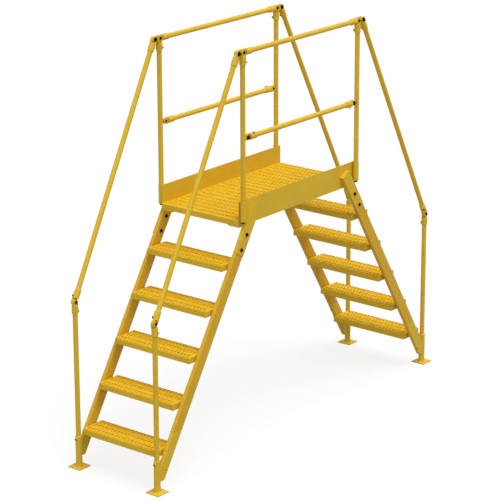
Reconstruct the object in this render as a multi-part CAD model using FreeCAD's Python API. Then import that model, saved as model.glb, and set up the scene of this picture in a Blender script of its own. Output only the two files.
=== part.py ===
"""Steel crossover platform: two steep flights of channel treads, a raised deck and pipe handrails."""
import FreeCAD, Part
import math
import os

V = FreeCAD.Vector

# X runs along the crossing, Y across the walkway and Z up, in millimetres.
# The origin is on the floor below the middle of the deck. The near side is -Y and the left flight is -X.

# Flights and deck
deck_height = 1524.0
rise_count = 6
tread_run = 158.5
deck_length = 1219.0
deck_plank_count = 4
deck_plank_gap = 0.5
plank_height = 38.0
plank_sheet = 3.0
plank_bend_flat = 3.5
plank_return = 22.0
grip_slot_count = 7
grip_slot_share = 0.5
grip_slot_from_edge = 20.0
tread_depth = 178.0
nosing_overhang = 56.0

# Walkway width and side plates
walkway_width = 618.0
side_plate_thickness = 3.0
toe_board_height = 119.0
end_plate_thickness = 5.0

# Stringers, a rectangular tube on each side of each flight
stringer_width = 25.4
stringer_depth = 76.2
stringer_wall = 3.0
stringer_corner = 4.0
stringer_foot_height = 72.0

# Stubs on the platform that carry the stringers
stub_rise = 93.0
stub_length = 234.0
tongue_length = 80.0
tongue_thickness = 2.6
joint_gap = 0.3

# Pipe, posts and rails
pipe_radius = 15.9
post_from_deck_end = 19.5
stringer_front_at_post = 134.0
lower_post_from_stringer = 9.0
top_rail_height = 1056.0
midrail_height = 521.0
knee_height = 1086.0
knee_offset = 3.0
slope_pivot_offset = 48.0

# Sleeves that hold the posts
post_sleeve_wall = 2.3
post_sleeve_weld = 0.1
post_sleeve_length = 126.0
post_sleeve_drop = 7.0
sleeve_clearance = 0.3
foot_sleeve_wall = 4.4
foot_sleeve_height = 210.0
foot_plate_size = 100.0
foot_plate_thickness = 6.0
post_end_height = 90.0

# Swivel sockets at the pipe ends
collar_radius = 20.5
collar_start = 24.0
collar_length = 56.0
collar_bevel = 4.0
ear_radius = 19.5
ear_thickness = 12.0
ear_seat = 0.5
end_flats = 6

# Lug on the platform post that carries the midrail
lug_reach = 41.0
lug_radius = 15.0
lug_thickness = 8.0

rise = deck_height / rise_count
slope_length = math.hypot(tread_run, rise)
down = V(tread_run / slope_length, 0, -rise / slope_length)
outward = V(rise / slope_length, 0, tread_run / slope_length)
deck_half_length = deck_length / 2
plate_inner_y = walkway_width / 2
stringer_inner_y = plate_inner_y + side_plate_thickness
stringer_outer_y = stringer_inner_y + stringer_width
stringer_front_x = deck_half_length - nosing_overhang
sleeve_radius = pipe_radius + sleeve_clearance + foot_sleeve_wall
post_sleeve_radius = pipe_radius + sleeve_clearance + post_sleeve_wall
platform_post_x = deck_half_length - post_from_deck_end
platform_post_y = stringer_inner_y + post_sleeve_radius - post_sleeve_weld
lower_post_x = stringer_front_x + (deck_height - stringer_front_at_post) * tread_run / rise
lower_post_y = stringer_inner_y + lower_post_from_stringer
top_rail_z = deck_height + top_rail_height
midrail_z = deck_height + midrail_height

joint_distance = stub_length - stub_rise
tongue_end = joint_distance + tongue_length
floor_distance = -deck_height / down.z

SIDES = {"near": -1, "far": 1}
ENDS = {"left": -1, "right": 1}


def box(x_low, x_high, y_low, y_high, z_low, z_high):
    """Box between two corners."""
    return Part.makeBox(x_high - x_low, y_high - y_low, z_high - z_low, V(x_low, y_low, z_low))


def side_prism(points, y_low, y_high):
    """Prism whose outline lies in the XZ plane, given as (x, z) points."""
    ring = [V(x, y_low, z) for x, z in points]
    face = Part.Face(Part.makePolygon(ring + ring[:1]))
    return face.extrude(V(0, y_high - y_low, 0))


def cylinder(start, end, radius):
    """Solid cylinder from one point to another."""
    axis = end - start
    return Part.makeCylinder(radius, axis.Length, start, axis)


def pipe(start, end, radius, wall):
    """Pipe from one point to another."""
    return cylinder(start, end, radius).cut(cylinder(start, end, radius - wall))


def turned(start, end, outline):
    """Solid of revolution about the line between two points, from (distance, radius) points."""
    last = outline[-1][0]
    ring = [V(0, 0, outline[0][0])] + [V(radius, 0, distance) for distance, radius in outline] + [V(0, 0, last)]
    face = Part.Face(Part.makePolygon(ring + ring[:1]))
    solid = face.revolve(V(0, 0, 0), V(0, 0, 1), 360)
    solid.Placement = FreeCAD.Placement(start, FreeCAD.Rotation(V(0, 0, 1), end - start))
    return solid


def along_y(shape, side):
    """The far copy of a piece, or its mirror image on the near side."""
    return shape if side > 0 else shape.mirror(V(0, 0, 0), V(0, 1, 0))


def along_x(shape, end):
    """The right copy of a piece, or its mirror image on the left flight."""
    return shape if end > 0 else shape.mirror(V(0, 0, 0), V(1, 0, 0))


def at_corner(shape, end, side):
    """A piece of the right far corner, moved to another corner."""
    return along_x(along_y(shape, side), end)


def four_corners(shape):
    """Copies of a piece at all four corners."""
    return Part.makeCompound([at_corner(shape, end, side) for end in ENDS.values() for side in SIDES.values()])


def edges_along(shape, direction, keep=lambda edge: True):
    """Straight edges of a shape that run along a direction."""
    chosen = []
    for edge in shape.Edges:
        if edge.Curve.TypeId != "Part::GeomLine":
            continue
        if abs(abs(edge.tangentAt(edge.FirstParameter).dot(direction)) - 1) < 1e-6 and keep(edge):
            chosen.append(edge)
    return chosen


def nosing_x(level):
    """Front edge of the tread at a level, where the deck is the last level."""
    return deck_half_length + tread_run * (rise_count - level)


def plank(x_low, x_high, half_width, top):
    """Channel plank with bent edges and inward returns, and a row of slots in its top for the grip openings."""
    outer = box(x_low, x_high, -half_width, half_width, top - plank_height, top)
    outer = bent(outer, top)
    inner = box(x_low + plank_sheet, x_high - plank_sheet, -half_width, half_width,
                top - plank_height + plank_sheet, top - plank_sheet)
    mouth = box(x_low + plank_return, x_high - plank_return, -half_width, half_width,
                top - plank_height, top - plank_height + plank_sheet)
    return outer.cut(inner).cut(mouth).cut(grip_slots(x_low, x_high, half_width, top))


def bent(shape, top):
    """A plank's body with its two upper long edges cut back for the bend."""
    upper = edges_along(shape, V(0, 1, 0), lambda edge: edge.CenterOfMass.z > top - plank_height / 2)
    return shape.makeChamfer(plank_bend_flat, upper)


def grip_slots(x_low, x_high, half_width, top):
    """Plain slots across a plank, which stand for its diamond openings."""
    pitch = 2 * half_width / grip_slot_count
    slot_half = pitch * grip_slot_share / 2
    slots = []
    for index in range(grip_slot_count):
        middle = pitch * (index - (grip_slot_count - 1) / 2)
        slots.append(box(x_low + grip_slot_from_edge, x_high - grip_slot_from_edge,
                         middle - slot_half, middle + slot_half, top - plank_height / 2, top))
    return Part.makeCompound(slots)


def tread(level):
    """Tread of the right flight, with a plate at each end that meets the stringer."""
    front = nosing_x(level)
    back = front - tread_depth
    top = rise * level
    body_half = stringer_inner_y - end_plate_thickness
    shape = plank(back, front, body_half, top)
    plate = bent(box(back, front, body_half, stringer_inner_y, top - plank_height, top), top)
    for side in SIDES.values():
        shape = shape.fuse(along_y(plate, side))
    return shape.removeSplitter()


def deck():
    """Deck of channel planks that run from side plate to side plate."""
    pitch = (deck_length + deck_plank_gap) / deck_plank_count
    starts = [pitch * index - deck_half_length for index in range(deck_plank_count)]
    return Part.makeCompound([plank(start, start + pitch - deck_plank_gap, plate_inner_y, deck_height)
                              for start in starts])


def side_plate():
    """Side plate on the far side, toe board above the deck and skirt below it in one sheet."""
    return box(-deck_half_length, deck_half_length, plate_inner_y, stringer_inner_y,
               deck_height - plank_height, deck_height + toe_board_height)


def slope_point(distance, depth=0.0):
    """Point beside the right flight, a distance down the slope and a depth below its front face."""
    start = V(stringer_front_x, 0, deck_height)
    return start + down * distance - outward * depth


def slope_bar(first, last, depth_low, depth_high, y_low, y_high):
    """Bar along the slope between two distances, two depths and two widths."""
    corners = [(first, depth_low), (last, depth_low), (last, depth_high), (first, depth_high)]
    places = [slope_point(distance, depth) for distance, depth in corners]
    return side_prism([(place.x, place.z) for place in places], y_low, y_high)


def hollow_bar(first, last):
    """Bore of the stringer tube."""
    return slope_bar(first, last, stringer_wall, stringer_depth - stringer_wall,
                     stringer_inner_y + stringer_wall, stringer_outer_y - stringer_wall)


def stringer():
    """Stringer of the right flight on the far side, cut level at its foot and coped to the foot sleeve."""
    first = joint_distance + joint_gap
    tube = slope_bar(first, floor_distance, 0, stringer_depth, stringer_inner_y, stringer_outer_y)
    tube = tube.makeFillet(stringer_corner, edges_along(tube, down))
    tube = tube.cut(hollow_bar(first, floor_distance))
    below = box(0, 2 * lower_post_x, 0, 2 * stringer_outer_y, -stringer_depth, stringer_foot_height)
    beyond = box(lower_post_x, 2 * lower_post_x, 0, 2 * stringer_outer_y, 0, foot_sleeve_height)
    sleeve = cylinder(V(lower_post_x, lower_post_y, 0), V(lower_post_x, lower_post_y, foot_sleeve_height),
                      sleeve_radius)
    return tube.cut(below).cut(beyond).cut(sleeve)


def stub():
    """Stub welded outside the side plate, with a tongue that laps the end of the stringer."""
    block = slope_bar(-stub_rise, joint_distance, 0, stringer_depth, stringer_inner_y, stringer_outer_y)
    block = block.cut(hollow_bar(-stub_rise + stringer_wall, joint_distance))
    tongue = slope_bar(-stub_rise, tongue_end, 0, stringer_depth,
                       stringer_outer_y, stringer_outer_y + tongue_thickness)
    return block.fuse(tongue).removeSplitter()


def foot():
    """Foot of the right flight on the far side: floor plate and the sleeve that takes the lower post."""
    half = foot_plate_size / 2
    plate = box(lower_post_x - half, lower_post_x + half, lower_post_y - half, lower_post_y + half,
                0, foot_plate_thickness)
    base = V(lower_post_x, lower_post_y, foot_plate_thickness)
    top = V(lower_post_x, lower_post_y, foot_sleeve_height)
    length = foot_sleeve_height - foot_plate_thickness
    bore_radius = pipe_radius + sleeve_clearance
    body = turned(base, top, [(0.0, sleeve_radius), (length - foot_sleeve_wall, sleeve_radius), (length, bore_radius)])
    return plate.fuse(body).cut(cylinder(base, top, bore_radius)).removeSplitter()


def post_sleeve():
    """Sleeve on the side plate that takes the foot of a platform post."""
    base = V(platform_post_x, platform_post_y, deck_height - post_sleeve_drop)
    shape = pipe(base, base + V(0, 0, post_sleeve_length), post_sleeve_radius, post_sleeve_wall)
    seat = box(0, 2 * platform_post_x, 0, stringer_inner_y, 0, 2 * deck_height)
    return shape.cut(seat)


def knee_pivot():
    """Pivot between the lower post and the sloping rail."""
    return V(lower_post_x + knee_offset, lower_post_y, knee_height)


def slope_pivot():
    """Pivot between the top rail and the sloping rail."""
    return V(platform_post_x + slope_pivot_offset, platform_post_y, top_rail_z)


def post_pivot():
    """Pivot between the platform post and the top rail."""
    return V(platform_post_x, platform_post_y, top_rail_z)


def midrail_pivot():
    """Pivot in the lug beside the platform post."""
    return V(platform_post_x - lug_reach, platform_post_y, midrail_z)


def pipe_outline(length, sockets):
    """Outline of a pipe with a bevelled socket collar at its first end, its last end or both."""
    near_mouth = collar_start + collar_length
    outline = [(0.0, pipe_radius)]
    if "first" in sockets:
        outline = [(collar_start, collar_radius), (near_mouth - collar_bevel, collar_radius), (near_mouth, pipe_radius)]
    if "last" in sockets:
        outline += [(length - distance, radius) for distance, radius in
                    [(near_mouth, pipe_radius), (near_mouth - collar_bevel, collar_radius),
                     (collar_start, collar_radius)]]
    else:
        outline.append((length, pipe_radius))
    return outline


def rounded_bar(root, tip, half_width, y_low, y_high):
    """Flat bar from its root to round a pivot at its tip, with the round end in a few flats."""
    axis = V(tip.x - root.x, 0, tip.z - root.z).normalize()
    across = V(-axis.z, 0, axis.x)
    outline = [root + across * half_width, root - across * half_width]
    for step in range(end_flats + 1):
        turn = math.radians(180.0 * step / end_flats - 90.0)
        outline.append(tip + (axis * math.cos(turn) + across * math.sin(turn)) * half_width)
    return side_prism([(corner.x, corner.z) for corner in outline], y_low, y_high)


def ear(origin, toward, side, tip):
    """Ear of a socket, from inside its collar round the pivot bolt, on one side of the pipe's middle."""
    axis = V(toward.x - origin.x, 0, toward.z - origin.z).normalize()
    root = origin + axis * (collar_start + ear_seat)
    y_low = min(origin.y, origin.y + side * ear_thickness)
    return rounded_bar(root, tip, ear_radius, y_low, y_low + ear_thickness)


def lower_post():
    """Post that stands in the foot sleeve, with the lower half of the knee."""
    base = V(lower_post_x, lower_post_y, post_end_height)
    head = V(lower_post_x, lower_post_y, knee_height)
    shape = turned(base, head, pipe_outline((head - base).Length, ["last"]))
    return shape.fuse(ear(head, base, -1, knee_pivot())).removeSplitter()


def platform_post():
    """Post beside the deck, with its swivel socket on top and the lug that carries the midrail."""
    base = V(platform_post_x, platform_post_y, deck_height - post_sleeve_drop)
    head = post_pivot()
    shape = turned(base, head, pipe_outline((head - base).Length, ["last"]))
    lug_root = V(platform_post_x, platform_post_y, midrail_z)
    lug = rounded_bar(lug_root, midrail_pivot(), lug_radius, platform_post_y, platform_post_y + lug_thickness)
    return shape.fuse(ear(head, base, 1, head)).fuse(lug).removeSplitter()


def level_rail(right, tip):
    """Rail between the platform posts, with a swivel socket at each end whose ear reaches to a tip."""
    left = V(-right.x, right.y, right.z)
    shape = turned(left, right, pipe_outline(2 * right.x, ["first", "last"]))
    for end in ENDS.values():
        shape = shape.fuse(along_x(ear(right, V(0, right.y, right.z), -1, tip), end))
    return shape.removeSplitter()


def sloping_rail():
    """Rail from the top rail down to the knee, with a swivel socket at each end."""
    top = slope_pivot()
    knee = knee_pivot()
    shape = turned(top, knee, pipe_outline((knee - top).Length, ["first", "last"]))
    return shape.fuse(ear(top, knee, 1, top)).fuse(ear(knee, top, 1, knee)).removeSplitter()


def pieces():
    """Every piece of the platform by the name of its node."""
    named = {"deck": deck()}
    for end_name, end in ENDS.items():
        for level in range(1, rise_count):
            named["tread_%s_%d" % (end_name, level)] = along_x(tread(level), end)
        named["stringer_stubs_" + end_name] = Part.makeCompound(
            [at_corner(stub(), end, side) for side in SIDES.values()])
    for side_name, side in SIDES.items():
        named["side_plate_" + side_name] = along_y(side_plate(), side)
        named["top_rail_" + side_name] = along_y(level_rail(post_pivot(), slope_pivot()), side)
        named["midrail_" + side_name] = along_y(level_rail(midrail_pivot(), midrail_pivot()), side)
        for end_name, end in ENDS.items():
            place = "%s_%s" % (end_name, side_name)
            named["stringer_" + place] = at_corner(stringer(), end, side)
            named["lower_post_" + place] = at_corner(lower_post(), end, side)
            named["platform_post_" + place] = at_corner(platform_post(), end, side)
            named["sloping_rail_" + place] = at_corner(sloping_rail(), end, side)
    named["feet"] = four_corners(foot())
    named["post_sleeves"] = four_corners(post_sleeve())
    return named


os.makedirs("parts", exist_ok=True)
for name, shape in pieces().items():
    shape.exportStep("parts/%s.step" % name)
    print("%-28s %2d solids %10.1f mm3 valid %s" % (name, len(shape.Solids), shape.Volume, shape.isValid()))
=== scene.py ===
"""Looks of the steel crossover platform: powder coat, grip planks, bolts, set screws and welds."""
import bpy
import bmesh
import math
from collections import namedtuple
from mathutils import Matrix, Vector

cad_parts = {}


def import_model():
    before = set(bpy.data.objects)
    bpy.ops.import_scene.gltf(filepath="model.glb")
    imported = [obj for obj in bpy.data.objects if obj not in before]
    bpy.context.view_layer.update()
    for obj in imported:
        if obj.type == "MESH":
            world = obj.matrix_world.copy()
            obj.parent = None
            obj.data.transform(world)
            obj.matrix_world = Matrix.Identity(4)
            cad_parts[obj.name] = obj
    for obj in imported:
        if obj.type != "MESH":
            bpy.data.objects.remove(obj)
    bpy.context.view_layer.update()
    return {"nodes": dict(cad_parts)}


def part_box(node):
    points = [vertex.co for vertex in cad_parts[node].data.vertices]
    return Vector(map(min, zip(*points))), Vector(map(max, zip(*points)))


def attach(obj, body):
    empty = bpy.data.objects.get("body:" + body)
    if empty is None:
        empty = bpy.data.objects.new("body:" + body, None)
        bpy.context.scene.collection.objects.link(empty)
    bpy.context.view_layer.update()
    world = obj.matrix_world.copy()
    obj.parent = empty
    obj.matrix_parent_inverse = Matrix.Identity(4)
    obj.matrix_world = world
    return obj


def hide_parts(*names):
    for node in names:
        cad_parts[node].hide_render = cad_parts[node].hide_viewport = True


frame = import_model()

# Metres, in the frame's own axes: X along the crossing, Y across the walkway, Z up.
# The near side is -Y and the left flight is -X.
SIDES = {"near": -1, "far": 1}
ENDS = {"left": -1, "right": 1}
BODY = "root"

# Camera, fitted to the photograph
IMAGE_SIZE = 500
SENSOR_WIDTH = 36.0
FOCAL_PIXELS = 2176.28
AXIS_PIXEL = (260.417, 223.574)
CAMERA_AZIMUTH = -51.778
CAMERA_ELEVATION = 17.122
CAMERA_ROLL = -0.099
CAMERA_DISTANCE = 14.066
CAMERA_TARGET = Vector((0.0, 0.0, 1.3))
CAMERA_REACH = 100.0

# Light and floor
SKY_COLOUR = (1.0, 0.99, 0.97)
SKY_STRENGTH = 0.5
SUN_STRENGTH = 2.0
SUN_FROM = Vector((0.02, -0.32, 0.93))
SUN_SPREAD = 40.0
FILL_STRENGTH = 0.45
FILL_FROM = Vector((-0.85, -0.2, 0.35))
FILL_SPREAD = 60.0
WHITE = (1.0, 1.0, 1.0)
FLOOR_HALF = 9.0
FLOOR_BOUNCE = (0.3, 0.3, 0.3)
FLOOR_ROUGHNESS = 0.9
FLOOR_PALE = (0.95, 0.95, 0.95)
FLOOR_WHITE_SHARE = 0.82

# Coats, each as a deep and a light tone in linear light
COAT_TONES = ((0.73, 0.465, 0.026), (0.77, 0.52, 0.034))
UPPER_STRINGER_TONES = ((0.70, 0.40, 0.024), (0.74, 0.45, 0.031))
GRIP_TONES = ((0.77, 0.465, 0.010), (0.82, 0.505, 0.014))
COAT_STOPS = (0.3, 0.7)
COAT_ROUGHNESS = (0.38, 0.52)
COAT_SPECULAR = 0.16
SOFT_EDGE = 0.0012
SOFT_EDGE_SAMPLES = 4
OXIDE_TONES = ((0.010, 0.003, 0.001), (0.026, 0.009, 0.003))
OXIDE_STOPS = (0.35, 0.7)
OXIDE_ROUGHNESS = 0.65
OXIDE_SPECULAR = 0.07
SEAM_HEIGHT = 0.352
SEAM_LINE = 0.0016
SEAM_TONE = (0.30, 0.17, 0.012)

# Grip planks
DIAMOND_PITCH = 0.0271
DIAMOND_LENGTH = 0.0500
DIAMOND_WIDTH = 0.0140
ROW_PITCH = 0.0593
TREAD_ROWS = 3
DECK_ROWS = 5
EDGE_STEPS = 16
TOOTH_HEIGHT = 0.0015
RIM_RISE = 0.0050
RIM_GROWTH = 4.0
RIDGE_SHARE = 0.6
RIM_RUN = 0.0035
END_POINTS = 2
SECTION_POINTS = 3
PLANK_HEIGHT = 0.038
PLANK_SHEET = 0.0025
PLANK_BEND = 0.006
PLANK_RETURN = 0.022
BEND_STEPS = 4
PLAIN_EDGE = 0.009
MERGE_DIGITS = 6
DECK_PLANKS = 4
DECK_GAP = 0.0005

# End plates and brackets of the treads, and clips under the deck
END_PLATE = 0.005
END_INSET = 0.010
BRACKET_LENGTH = 0.050
BRACKET_HEIGHT = 0.028
CLIP_INSET = 0.003
CLIP_WIDTH = 0.030
CLIP_THICKNESS = 0.008
CLIP_LENGTH = 0.085

# Frame that carries the bolts
TREAD_RUN = 0.1585
TREAD_RISE = 0.254
NOSING = 0.056
STRINGER_DEPTH = 0.0762
POST_AXIS_FROM_END = 0.0205
PIVOT_FROM_END = 0.0195
KNEE_OFFSET = 0.003
STACK_HALF = 0.012
LUG_THICKNESS = 0.008
COLLAR_RADIUS = 0.0205
FOOT_SLEEVE_RADIUS = 0.0206
FOOT_PLATE_TOP = 0.006

# Bolts, by their width across flats, and their places down the slope
BIG_BOLT = 0.0185
STUB_BOLT = 0.0160
SMALL_BOLT = 0.0130
LOW_BOLT = 0.0100
END_BOLT = 0.0220
BAR_NUT = 0.0090
STUB_BOLTS = (0.087, 0.188)
FOOT_BOLTS = (1.396, 1.464)
LOW_BOLT_DISTANCE = 1.602
LOW_BOLT_DEPTH = 0.0606

# Profiles of bolts, where a SHARE is of the width across flats
TURNED_SIDES = 24
WASHER_SHARE = 0.75
WASHER_THICKNESS = 0.002
WASHER_STRAIGHT = 0.7
WASHER_TOP = 0.97
HEAD_SHARE = 0.42
HEAD_CHAMFER = 0.0012
HEAD_TOP_SHARE = 0.45
NUT_FACE_SHARE = 0.47
THREAD_SHARE = 0.32
THREAD_BEYOND = 0.003
THREAD_TIP = 0.85
THREAD_TIP_BEYOND = 1.3

# Set screws and their bosses, and their places along and round the pipes
POST_SCREW = 0.060
RAIL_SCREW = 0.050
POST_SCREW_TURN = 30.0
KNEE_SCREWS = {-1: (0.036, 12.0), 1: (0.060, 50.0)}
FOOT_SCREW_Z = 0.189
BOSS_RADIUS = 0.0085
BOSS_HEIGHT = 0.0070
BOSS_ROOT = 0.8
BOSS_STRAIGHT = 0.8
BOSS_TOP = 0.85
SCREW_RADIUS = 0.0062
SCREW_HEIGHT = 0.0082
SCREW_TOP = 0.88
SOCKET_SHARE = 0.5
SOCKET_DEPTH = 0.004

# Welds
WELD_RADIUS = 0.0028
WELD_SWELL = 0.25
WELD_SIDES = 8
WELD_RING_STEPS = 60

# Degrees between faces above which an edge is sharp
SHARP_ANGLE = 30.0

Corner = namedtuple("Corner", "name end_name side_name end side")
Pivots = namedtuple("Pivots", "post slope bar knee")
CORNERS = [Corner("%s_%s" % (end_name, side_name), end_name, side_name, end, side)
           for end_name, end in ENDS.items() for side_name, side in SIDES.items()]


def new_material(name):
    """A node material with its tree and its shader."""
    material = bpy.data.materials.new(name)
    material.use_nodes = True
    return material, material.node_tree, material.node_tree.nodes["Principled BSDF"]


def noise(tree, scale, detail=2.0):
    """Noise in object space, in features per metre."""
    place = tree.nodes.new("ShaderNodeTexCoord")
    node = tree.nodes.new("ShaderNodeTexNoise")
    node.inputs["Scale"].default_value = scale
    node.inputs["Detail"].default_value = detail
    tree.links.new(place.outputs["Object"], node.inputs["Vector"])
    return node.outputs["Fac"]


def ramp(tree, value, positions, tones):
    """Colour ramp over a value, with a tone at each position."""
    node = tree.nodes.new("ShaderNodeValToRGB")
    for element, position, tone in zip(node.color_ramp.elements, positions, tones):
        element.position = position
        element.color = (*tone, 1.0)
    tree.links.new(value, node.inputs["Fac"])
    return node.outputs["Color"]


def bump(tree, height, distance, strength, before=None):
    """Bump from a height, on top of an earlier bump."""
    node = tree.nodes.new("ShaderNodeBump")
    node.inputs["Distance"].default_value = distance
    node.inputs["Strength"].default_value = strength
    tree.links.new(height, node.inputs["Height"])
    if before is not None:
        tree.links.new(before, node.inputs["Normal"])
    return node.outputs["Normal"]


def split_by_height(tree, below, above, height):
    """One colour below a height in object space, another above it, and a dark line between."""
    place = tree.nodes.new("ShaderNodeTexCoord")
    axes = tree.nodes.new("ShaderNodeSeparateXYZ")
    tree.links.new(place.outputs["Object"], axes.inputs["Vector"])
    colour = below
    for level, upper in ((height - SEAM_LINE / 2, None), (height + SEAM_LINE / 2, above)):
        higher = tree.nodes.new("ShaderNodeMath")
        higher.operation = "GREATER_THAN"
        higher.inputs[1].default_value = level
        tree.links.new(axes.outputs["Z"], higher.inputs[0])
        mix = tree.nodes.new("ShaderNodeMix")
        mix.data_type = "RGBA"
        tree.links.new(higher.outputs[0], mix.inputs["Factor"])
        tree.links.new(colour, mix.inputs["A"])
        if upper is None:
            mix.inputs["B"].default_value = (*SEAM_TONE, 1.0)
        else:
            tree.links.new(upper, mix.inputs["B"])
        colour = mix.outputs["Result"]
    return colour


def powder_coat(name, tones, upper_tones=None):
    """Yellow powder coat with slow colour drift and orange peel, and other tones above the seam."""
    material, tree, shader = new_material(name)
    drift = noise(tree, scale=7.0, detail=3.0)
    colour = ramp(tree, drift, COAT_STOPS, tones)
    if upper_tones:
        upper = ramp(tree, drift, COAT_STOPS, upper_tones)
        colour = split_by_height(tree, colour, upper, SEAM_HEIGHT)
    tree.links.new(colour, shader.inputs["Base Color"])
    gloss = tree.nodes.new("ShaderNodeMapRange")
    gloss.inputs["To Min"].default_value, gloss.inputs["To Max"].default_value = COAT_ROUGHNESS
    tree.links.new(noise(tree, scale=60.0, detail=4.0), gloss.inputs["Value"])
    tree.links.new(gloss.outputs["Result"], shader.inputs["Roughness"])
    soft_edge = tree.nodes.new("ShaderNodeBevel")
    soft_edge.samples = SOFT_EDGE_SAMPLES
    soft_edge.inputs["Radius"].default_value = SOFT_EDGE
    waves = bump(tree, noise(tree, scale=45.0), distance=0.0006, strength=0.25,
                 before=soft_edge.outputs["Normal"])
    peel = bump(tree, noise(tree, scale=700.0, detail=1.0), distance=0.00012, strength=0.5, before=waves)
    tree.links.new(peel, shader.inputs["Normal"])
    shader.inputs["Specular IOR Level"].default_value = COAT_SPECULAR
    return material


def black_oxide():
    """Blackened steel of the bolts and set screws."""
    material, tree, shader = new_material("black_oxide")
    tone = ramp(tree, noise(tree, scale=400.0, detail=3.0), OXIDE_STOPS, OXIDE_TONES)
    tree.links.new(tone, shader.inputs["Base Color"])
    grain = bump(tree, noise(tree, scale=1500.0), distance=0.0001, strength=0.3)
    tree.links.new(grain, shader.inputs["Normal"])
    shader.inputs["Roughness"].default_value = OXIDE_ROUGHNESS
    shader.inputs["Specular IOR Level"].default_value = OXIDE_SPECULAR
    return material


def linked(name, data):
    """An object of some data, in the scene."""
    piece = bpy.data.objects.new(name, data)
    bpy.context.scene.collection.objects.link(piece)
    return piece


def mesh_object(name, vertices, faces, material):
    """A flat-shaded object from plain vertices and faces."""
    mesh = bpy.data.meshes.new(name)
    mesh.from_pydata(vertices, [], faces)
    mesh.materials.append(material)
    mesh.validate()
    return linked(name, mesh)


def dress(piece, *nodes):
    """Rides the piece on the body and stands it for the nodes it replaces."""
    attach(piece, BODY)
    if nodes:
        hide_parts(*nodes)
    return piece


def joined(name, mesh, material, *nodes):
    """A piece from a mesh under construction, smooth except at its edges."""
    data = bpy.data.meshes.new(name)
    bmesh.ops.recalc_face_normals(mesh, faces=mesh.faces)
    mesh.to_mesh(data)
    mesh.free()
    data.materials.append(material)
    data.shade_smooth()
    data.set_sharp_from_angle(angle=math.radians(SHARP_ANGLE))
    return dress(linked(name, data), *nodes)


def camera():
    """Camera at the photograph's viewpoint."""
    azimuth, elevation, roll = (math.radians(a) for a in (CAMERA_AZIMUTH, CAMERA_ELEVATION, CAMERA_ROLL))
    level = Vector((math.cos(azimuth), math.sin(azimuth), 0.0))
    back = Vector((math.sin(azimuth) * math.cos(elevation), -math.cos(azimuth) * math.cos(elevation),
                   math.sin(elevation)))
    upright = back.cross(level)
    right = level * math.cos(roll) + upright * math.sin(roll)
    up = upright * math.cos(roll) - level * math.sin(roll)
    data = bpy.data.cameras.new("camera")
    data.sensor_width = SENSOR_WIDTH
    data.lens = FOCAL_PIXELS / IMAGE_SIZE * SENSOR_WIDTH
    data.shift_x = (IMAGE_SIZE / 2 - AXIS_PIXEL[0]) / IMAGE_SIZE
    data.shift_y = (AXIS_PIXEL[1] - IMAGE_SIZE / 2) / IMAGE_SIZE
    data.clip_end = CAMERA_REACH
    holder = linked("camera", data)
    turn = Matrix((right, up, back)).transposed().to_4x4()
    holder.matrix_world = Matrix.Translation(CAMERA_TARGET + back * CAMERA_DISTANCE) @ turn
    bpy.context.scene.camera = holder


def seen_directly(tree):
    """One where a surface is seen directly or mirrored, and zero for its light on other things."""
    path = tree.nodes.new("ShaderNodeLightPath")
    total = path.outputs["Is Camera Ray"]
    for kind in ("Is Glossy Ray", "Is Transmission Ray"):
        either = tree.nodes.new("ShaderNodeMath")
        either.operation = "MAXIMUM"
        tree.links.new(total, either.inputs[0])
        tree.links.new(path.outputs[kind], either.inputs[1])
        total = either.outputs[0]
    return total


def mixed(tree, first, second):
    """Mix of two shaders, with its factor left open."""
    mix = tree.nodes.new("ShaderNodeMixShader")
    tree.links.new(first.outputs[0], mix.inputs[1])
    tree.links.new(second.outputs[0], mix.inputs[2])
    return mix


def world():
    """Sky that lights softly and shows white."""
    sky = bpy.data.worlds.new("studio")
    sky.use_nodes = True
    tree = sky.node_tree
    soft = tree.nodes["Background"]
    soft.inputs["Color"].default_value = (*SKY_COLOUR, 1.0)
    soft.inputs["Strength"].default_value = SKY_STRENGTH
    white = tree.nodes.new("ShaderNodeBackground")
    white.inputs["Color"].default_value = (*WHITE, 1.0)
    mix = mixed(tree, soft, white)
    tree.links.new(seen_directly(tree), mix.inputs["Fac"])
    tree.links.new(mix.outputs[0], tree.nodes["World Output"].inputs["Surface"])
    bpy.context.scene.world = sky


def lamp(name, strength, source, spread):
    """Broad soft light from one direction."""
    data = bpy.data.lights.new(name, "SUN")
    data.energy = strength
    data.angle = math.radians(spread)
    linked(name, data).rotation_euler = source.to_track_quat("Z", "Y").to_euler()


def floor():
    """Pale floor that shows white and keeps a soft shadow."""
    material, tree, shader = new_material("studio_floor")
    shader.inputs["Base Color"].default_value = (*FLOOR_BOUNCE, 1.0)
    shader.inputs["Roughness"].default_value = FLOOR_ROUGHNESS
    pale = tree.nodes.new("ShaderNodeBsdfDiffuse")
    pale.inputs["Color"].default_value = (*FLOOR_PALE, 1.0)
    white = tree.nodes.new("ShaderNodeEmission")
    shown = mixed(tree, pale, white)
    shown.inputs["Fac"].default_value = FLOOR_WHITE_SHARE
    mix = mixed(tree, shader, shown)
    tree.links.new(seen_directly(tree), mix.inputs["Fac"])
    tree.links.new(mix.outputs[0], tree.nodes["Material Output"].inputs["Surface"])
    half = FLOOR_HALF
    corners = [(-half, -half, 0.0), (half, -half, 0.0), (half, half, 0.0), (-half, half, 0.0)]
    mesh_object("studio_floor", corners, [(0, 1, 2, 3)], material)


def channel_stations(half_width):
    """(x, z) at the sheet's outside, from a plank's return to the end of its bend."""
    stations = [(half_width - PLANK_RETURN, -PLANK_HEIGHT), (half_width, -PLANK_HEIGHT)]
    for step in range(BEND_STEPS + 1):
        turn = math.radians(90.0 * step / BEND_STEPS)
        stations.append((half_width - PLANK_BEND * (1 - math.cos(turn)),
                         -PLANK_BEND * (1 - math.sin(turn))))
    return stations


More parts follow.
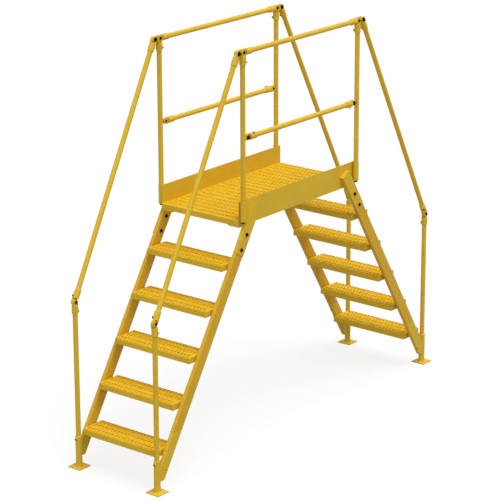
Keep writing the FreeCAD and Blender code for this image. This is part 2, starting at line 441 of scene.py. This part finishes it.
def lattice_stations(row_count):
    """(x, open share, tooth) across the rows, where a diamond opens from 0 at a tip to 1 midway."""
    stations = []
    for row in range(row_count):
        middle = ROW_PITCH * (row - (row_count - 1) / 2)
        for step in range(EDGE_STEPS + 1):
            along = 2 * step / EDGE_STEPS - 1
            stations.append((middle + along * DIAMOND_LENGTH / 2, 1 - abs(along), step % 2))
        stations.append((middle + ROW_PITCH / 2, 0.0, 0))
    return stations[:-1]


def strand_section(open_share, tooth):
    """Half a strand's section, as (y, z) from the edge of a diamond to the middle between two."""
    edge = open_share * DIAMOND_WIDTH / 2
    rim_top = RIM_RISE * min(1.0, max(RIDGE_SHARE, open_share * RIM_GROWTH)) + tooth * TOOTH_HEIGHT
    return [(edge, rim_top), (edge + RIM_RUN, 0.0), (DIAMOND_PITCH / 2, 0.0)]


def plank_stations(width, row_count):
    """(x, z, section) across a whole plank, from one return to the other."""
    flat = [(0.0, 0.0), (DIAMOND_PITCH / 4, 0.0), (DIAMOND_PITCH / 2, 0.0)]
    channel = [(x, z, flat) for x, z in channel_stations(width / 2)]
    mirrored = [(-x, z, section) for x, z, section in channel]
    top = [(x, 0.0, strand_section(share, tooth)) for x, share, tooth in lattice_stations(row_count)]
    return mirrored + top + channel[::-1]


def grip_plank(name, width, length, row_count, grip, edge):
    """Plank with bent edges and rows of serrated diamonds, its origin in the middle of its top."""
    cell_count = int(length / DIAMOND_PITCH)
    cell_count -= 1 - cell_count % 2
    last_edge = cell_count * DIAMOND_PITCH / 2
    vertices = []
    found = {}

    def vertex(x, y, z):
        """Index of the vertex at a place, the same for each use of that place."""
        key = (round(x, MERGE_DIGITS), round(y, MERGE_DIGITS), round(z, MERGE_DIGITS))
        if key not in found:
            found[key] = len(vertices)
            vertices.append((x, y, z))
        return found[key]

    columns = []
    for x, z, section in plank_stations(width, row_count):
        column = [vertex(x, -length / 2, z), vertex(x, -last_edge, z)]
        for cell in range(cell_count):
            middle = DIAMOND_PITCH * (cell - (cell_count - 1) / 2)
            column += [vertex(x, middle - y, z + rise) for y, rise in section[::-1]]
            column += [vertex(x, middle + y, z + rise) for y, rise in section]
        column += [vertex(x, last_edge, z), vertex(x, length / 2, z)]
        columns.append(column)
    # No face joins the two edges of an opening, or the points where one cell ends and the next starts.
    faces = []
    for left, right in zip(columns, columns[1:]):
        for place in range(len(left) - 1):
            face = (left[place], right[place], right[place + 1], left[place + 1])
            between = (place - END_POINTS) % SECTION_POINTS == SECTION_POINTS - 1
            if not between and len(set(face)) == 4:
                faces.append(face)
    piece = mesh_object(name, vertices, faces, grip)
    piece.data.materials.append(edge)
    for face in piece.data.polygons:
        if abs(face.center.x) > width / 2 - PLAIN_EDGE:
            face.material_index = 1
    sheet = piece.modifiers.new("sheet", "SOLIDIFY")
    sheet.thickness = PLANK_SHEET
    sheet.offset = -1.0
    return piece


def tread_nodes(end_name):
    """Names of a flight's treads, from the lowest up."""
    return sorted(name for name in frame["nodes"] if name.startswith("tread_" + end_name))


def treads(grip, edge):
    """A grip plank in place of each tread."""
    for end_name in ENDS:
        for node in tread_nodes(end_name):
            low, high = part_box(node)
            length = high.y - low.y - 2 * (END_INSET + END_PLATE)
            piece = grip_plank("grip_" + node, high.x - low.x, length, TREAD_ROWS, grip, edge)
            piece.location = ((low.x + high.x) / 2, 0.0, high.z)
            dress(piece, node)


def deck(grip, edge):
    """Grip planks across the walkway in place of the deck."""
    low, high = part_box("deck")
    pitch = (high.x - low.x + DECK_GAP) / DECK_PLANKS
    for index in range(DECK_PLANKS):
        name = "grip_deck_%d" % (index + 1)
        piece = grip_plank(name, pitch - DECK_GAP, high.y - low.y, DECK_ROWS, grip, edge)
        piece.location = (low.x + pitch * (index + 0.5) - DECK_GAP / 2, 0.0, high.z)
        dress(piece, "deck")


def prism(mesh, outline, y_inner, y_outer):
    """Prism from an (x, z) outline between two Y."""
    inner = [mesh.verts.new((x, y_inner, z)) for x, z in outline]
    outer = [mesh.verts.new((x, y_outer, z)) for x, z in outline]
    mesh.faces.new(inner)
    mesh.faces.new(outer[::-1])
    for step in range(len(outline)):
        mesh.faces.new((inner[step - 1], inner[step], outer[step], outer[step - 1]))


def end_plates(material):
    """Plates that close the ends of the treads, bent like the planks, and brackets to the stringers."""
    for end_name in ENDS:
        mesh = bmesh.new()
        nodes = tread_nodes(end_name)
        for node in nodes:
            low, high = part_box(node)
            centre, half = (low.x + high.x) / 2, (high.x - low.x) / 2
            bend = [(x, high.z + z) for x, z in channel_stations(half)[1:]]
            plate = [(centre + x, z) for x, z in bend] + [(centre - x, z) for x, z in bend[::-1]]
            bracket_low = high.z - PLANK_HEIGHT + (PLANK_HEIGHT - BRACKET_HEIGHT) / 2
            bracket = [(centre + x * BRACKET_LENGTH / 2, bracket_low + z * BRACKET_HEIGHT)
                       for x, z in ((1, 0), (1, 1), (-1, 1), (-1, 0))]
            plate_y = high.y - END_INSET
            for side in SIDES.values():
                prism(mesh, plate, side * (plate_y - END_PLATE), side * plate_y)
                prism(mesh, bracket, side * plate_y, side * high.y)
        joined("end_plates_" + end_name, mesh, material, *nodes)


def outer_end(node, end):
    """X of a node's end on a flight's side."""
    low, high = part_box(node)
    return high.x if end > 0 else low.x


def box_middle(node):
    """Middle of a node's box."""
    low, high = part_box(node)
    return (low + high) / 2


def deck_clips(material):
    """Clips that hold the ends of the deck's outer planks to the side plates from beneath."""
    deck_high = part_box("deck")[1]
    mesh = bmesh.new()
    for corner in CORNERS:
        outer_x = outer_end("deck", corner.end) - corner.end * CLIP_INSET
        inner_x = outer_end("deck", corner.end) - corner.end * (CLIP_INSET + CLIP_WIDTH)
        top = deck_high.z - PLANK_HEIGHT
        bottom = top - CLIP_THICKNESS
        outline = [(outer_x, top), (outer_x, bottom), (inner_x, bottom), (inner_x, top)]
        prism(mesh, outline, corner.side * (deck_high.y - CLIP_LENGTH), corner.side * deck_high.y)
    joined("deck_clips", mesh, material)


def pivots(corner):
    """Pivot points of a corner: post top, top of the slope, midrail and knee."""
    post, lower_post = "platform_post_" + corner.name, "lower_post_" + corner.name
    rail, bar = "top_rail_" + corner.side_name, "midrail_" + corner.side_name
    end = corner.end
    post_x, post_y = outer_end(post, end) - end * POST_AXIS_FROM_END, box_middle(post).y
    rail_z = box_middle(rail).z
    return Pivots(
        post=Vector((post_x, post_y, rail_z)),
        slope=Vector((outer_end(rail, end) - end * PIVOT_FROM_END, post_y, rail_z)),
        bar=Vector((outer_end(bar, end) - end * PIVOT_FROM_END, post_y, box_middle(bar).z)),
        knee=Vector((outer_end(lower_post, end) - end * PIVOT_FROM_END, box_middle(lower_post).y,
                     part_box(lower_post)[1].z - PIVOT_FROM_END)))


def slope_line(end):
    """Start of the stringers' front edge at the deck's level, and the ways down it and out of it."""
    deck_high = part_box("deck")[1]
    start = Vector((box_middle("deck").x + end * (deck_high.x - NOSING), 0.0, deck_high.z))
    down = Vector((end * TREAD_RUN, 0.0, -TREAD_RISE)).normalized()
    outward = Vector((end * TREAD_RISE, 0.0, TREAD_RUN)).normalized()
    return start, down, outward


def foot_axis(corner):
    """X and Y of the axis of a foot's sleeve."""
    knee = pivots(corner).knee
    return knee.x - corner.end * KNEE_OFFSET, knee.y


def swung(direction, towards, degrees):
    """Direction swung by an angle towards another."""
    angle = math.radians(degrees)
    return direction * math.cos(angle) + towards * math.sin(angle)


def aimed(origin, direction):
    """Frame at a point whose Z runs along a direction."""
    return Matrix.Translation(origin) @ direction.to_track_quat("Z", "Y").to_matrix().to_4x4()


def turned(mesh, place, rings):
    """Closed turned solid from (radius, height, hexagonal) rings, a hexagon's radius to its flats."""
    loops = []
    for radius, height, hexagonal in rings:
        loop = []
        for step in range(TURNED_SIDES):
            angle = 2 * math.pi * step / TURNED_SIDES
            from_flat = (angle + math.pi / 6) % (math.pi / 3) - math.pi / 6
            reach = radius / (math.cos(from_flat) if hexagonal else 1.0)
            point = Vector((reach * math.cos(angle), reach * math.sin(angle), height))
            loop.append(mesh.verts.new(place @ point))
        loops.append(loop)
    for lower, upper in zip(loops, loops[1:]):
        for step in range(TURNED_SIDES):
            mesh.faces.new((lower[step - 1], lower[step], upper[step], upper[step - 1]))
    mesh.faces.new(loops[0][::-1])
    mesh.faces.new(loops[-1])


def washer(mesh, place, flats):
    """Washer under a head or nut of a width across flats."""
    radius = flats * WASHER_SHARE
    turned(mesh, place, [(radius, 0.0, False),
                         (radius, WASHER_THICKNESS * WASHER_STRAIGHT, False),
                         (radius * WASHER_TOP, WASHER_THICKNESS, False)])


def hex_head(mesh, origin, direction, flats):
    """Washer and hexagonal bolt head that stand on a face."""
    place = aimed(origin, direction)
    washer(mesh, place, flats)
    top = WASHER_THICKNESS + flats * HEAD_SHARE
    turned(mesh, place, [(flats / 2, WASHER_THICKNESS, True),
                         (flats / 2, top - HEAD_CHAMFER, True),
                         (flats / 2, top - HEAD_CHAMFER / 2, False),
                         (flats * HEAD_TOP_SHARE, top, False)])


def hex_nut(mesh, origin, direction, flats):
    """Washer, nut and the end of the bolt's thread that stand on a face."""
    place = aimed(origin, direction)
    washer(mesh, place, flats)
    top = WASHER_THICKNESS + flats * HEAD_SHARE
    thread = flats * THREAD_SHARE
    turned(mesh, place, [(flats * NUT_FACE_SHARE, WASHER_THICKNESS, False),
                         (flats / 2, WASHER_THICKNESS + HEAD_CHAMFER, True),
                         (flats / 2, top - HEAD_CHAMFER, True),
                         (flats * NUT_FACE_SHARE, top, False),
                         (thread, top, False),
                         (thread, top + THREAD_BEYOND, False),
                         (thread * THREAD_TIP, top + THREAD_BEYOND * THREAD_TIP_BEYOND, False)])


def pivot_bolts(material):
    """Bolts through the swivel sockets and the lugs of the midrails."""
    front = Vector((0.0, -1.0, 0.0))
    mesh = bmesh.new()
    for corner in CORNERS:
        post, slope, bar, knee = pivots(corner)
        for pivot, flats in ((post, SMALL_BOLT), (slope, BIG_BOLT), (knee, SMALL_BOLT)):
            hex_head(mesh, pivot + front * STACK_HALF, front, flats)
            hex_nut(mesh, pivot - front * STACK_HALF, -front, flats)
        out = Vector((0.0, corner.side, 0.0))
        hex_head(mesh, bar + out * LUG_THICKNESS, out, BIG_BOLT)
        hex_nut(mesh, bar - out * STACK_HALF, -out, BAR_NUT)
    joined("pivot_bolts", mesh, material)


def post_bolts(material):
    """Bolt heads under the sleeves of the platform posts."""
    sleeve_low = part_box("post_sleeves")[0].z
    mesh = bmesh.new()
    for corner in CORNERS:
        post = pivots(corner).post
        hex_head(mesh, Vector((post.x, post.y, sleeve_low)), Vector((0.0, 0.0, -1.0)), END_BOLT)
    joined("post_bolts", mesh, material)


def stringer_bolts(material):
    """Bolts that hold the stringers to their stubs."""
    mesh = bmesh.new()
    for corner in CORNERS:
        start, down, outward = slope_line(corner.end)
        low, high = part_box("stringer_" + corner.name)
        stub_low, stub_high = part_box("stringer_stubs_" + corner.end_name)
        outer_y = max(abs(stub_low.y), abs(stub_high.y))
        inner_y = min(abs(low.y), abs(high.y))
        out = Vector((0.0, corner.side, 0.0))
        for distance in STUB_BOLTS:
            point = start + down * distance - outward * STRINGER_DEPTH / 2
            hex_head(mesh, point + out * outer_y, out, STUB_BOLT)
            hex_nut(mesh, point + out * inner_y, -out, STUB_BOLT)
    joined("stringer_bolts", mesh, material)


def foot_bolts(material):
    """Coated bolt heads on the rear edge and outer face of the stringers, near their feet."""
    mesh = bmesh.new()
    for corner in CORNERS:
        start, down, outward = slope_line(corner.end)
        low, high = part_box("stringer_" + corner.name)
        for distance in FOOT_BOLTS:
            point = start + down * distance - outward * STRINGER_DEPTH
            hex_head(mesh, Vector((point.x, (low.y + high.y) / 2, point.z)), -outward, SMALL_BOLT)
        point = start + down * LOW_BOLT_DISTANCE - outward * LOW_BOLT_DEPTH
        out = Vector((0.0, corner.side, 0.0))
        hex_head(mesh, point + out * max(abs(low.y), abs(high.y)), out, LOW_BOLT)
    joined("foot_bolts", mesh, material)


def set_screw(bosses, screws, axis_point, direction, radius):
    """Boss on a round socket with a recessed screw in it."""
    place = aimed(axis_point, direction)
    boss_top = radius + BOSS_HEIGHT
    turned(bosses, place, [(BOSS_RADIUS, radius * BOSS_ROOT, False),
                           (BOSS_RADIUS, radius + BOSS_HEIGHT * BOSS_STRAIGHT, False),
                           (BOSS_RADIUS * BOSS_TOP, boss_top, False),
                           (SCREW_RADIUS, boss_top, False),
                           (SCREW_RADIUS, radius, False)])
    top = radius + SCREW_HEIGHT
    turned(screws, place, [(SCREW_RADIUS, radius, False),
                           (SCREW_RADIUS, top - HEAD_CHAMFER / 2, False),
                           (SCREW_RADIUS * SCREW_TOP, top, False),
                           (SCREW_RADIUS * SOCKET_SHARE, top, True),
                           (SCREW_RADIUS * SOCKET_SHARE, top - SOCKET_DEPTH, True)])


def set_screws(coating, dark):
    """Bosses with set screws on the swivel sockets and the foot sleeves."""
    bosses, screws = bmesh.new(), bmesh.new()
    up, across = Vector((0.0, 0.0, 1.0)), Vector((0.0, 1.0, 0.0))
    for corner in CORNERS:
        end, side = corner.end, corner.side
        post, slope, bar, knee = pivots(corner)
        inward = Vector((-end, 0.0, 0.0))
        along = (knee - slope).normalized()
        beneath = Vector((-end * abs(along.z), 0.0, -abs(along.x)))
        knee_screw, knee_turn = KNEE_SCREWS[end]
        post_direction = swung(inward, across * end, POST_SCREW_TURN)
        bar_direction = swung(up * end * side, across * side, POST_SCREW_TURN)
        knee_direction = swung(beneath * end, across * -end, knee_turn)
        for point, direction in (
                (post - up * POST_SCREW, post_direction),
                (slope + along * RAIL_SCREW, beneath),
                (bar + inward * RAIL_SCREW, bar_direction),
                (knee - up * POST_SCREW, post_direction),
                (knee - along * knee_screw, knee_direction)):
            set_screw(bosses, screws, point, direction, COLLAR_RADIUS)
        foot = Vector((*foot_axis(corner), FOOT_SCREW_Z))
        set_screw(bosses, screws, foot, -inward, FOOT_SLEEVE_RADIUS)
    joined("screw_bosses", bosses, coating)
    joined("set_screws", screws, dark)


def bead(mesh, path):
    """Weld bead round a closed path, thick and thin by turns."""
    loops = []
    for index, point in enumerate(path):
        ahead = path[(index + 1) % len(path)] - path[index - 1]
        radius = WELD_RADIUS * (1.0 + WELD_SWELL * (index % 2))
        place = aimed(point, ahead.normalized())
        loop = []
        for step in range(WELD_SIDES):
            turn = 2 * math.pi * step / WELD_SIDES
            corner = Vector((radius * math.cos(turn), radius * math.sin(turn), 0.0))
            loop.append(mesh.verts.new(place @ corner))
        loops.append(loop)
    for first, second in zip(loops, loops[1:] + loops[:1]):
        for step in range(WELD_SIDES):
            mesh.faces.new((first[step - 1], first[step], second[step], second[step - 1]))


def welds(material):
    """Rippled weld beads round the foot sleeves, on their plates."""
    reach = FOOT_SLEEVE_RADIUS + WELD_RADIUS / 2
    height = FOOT_PLATE_TOP + WELD_RADIUS / 2
    mesh = bmesh.new()
    for corner in CORNERS:
        x, y = foot_axis(corner)
        path = []
        for step in range(WELD_RING_STEPS):
            turn = 2 * math.pi * step / WELD_RING_STEPS
            path.append(Vector((x + reach * math.cos(turn), y + reach * math.sin(turn), height)))
        bead(mesh, path)
    joined("weld_beads", mesh, material)


camera()
world()
lamp("sun", SUN_STRENGTH, SUN_FROM, SUN_SPREAD)
lamp("fill", FILL_STRENGTH, FILL_FROM, FILL_SPREAD)
floor()
bpy.context.scene.view_settings.view_transform = "Standard"
coat = powder_coat("yellow_powder_coat", COAT_TONES)
stringer_coat = powder_coat("stringer_powder_coat", COAT_TONES, UPPER_STRINGER_TONES)
grip_coat = powder_coat("grip_powder_coat", GRIP_TONES)
black = black_oxide()
for name, node in frame["nodes"].items():
    is_stringer = name.startswith("stringer_") and "stubs" not in name
    node.data.materials.clear()
    node.data.materials.append(stringer_coat if is_stringer else coat)
treads(grip_coat, coat)
deck(grip_coat, coat)
end_plates(coat)
pivot_bolts(black)
post_bolts(black)
stringer_bolts(black)
foot_bolts(coat)
deck_clips(coat)
set_screws(coat, black)
welds(coat)
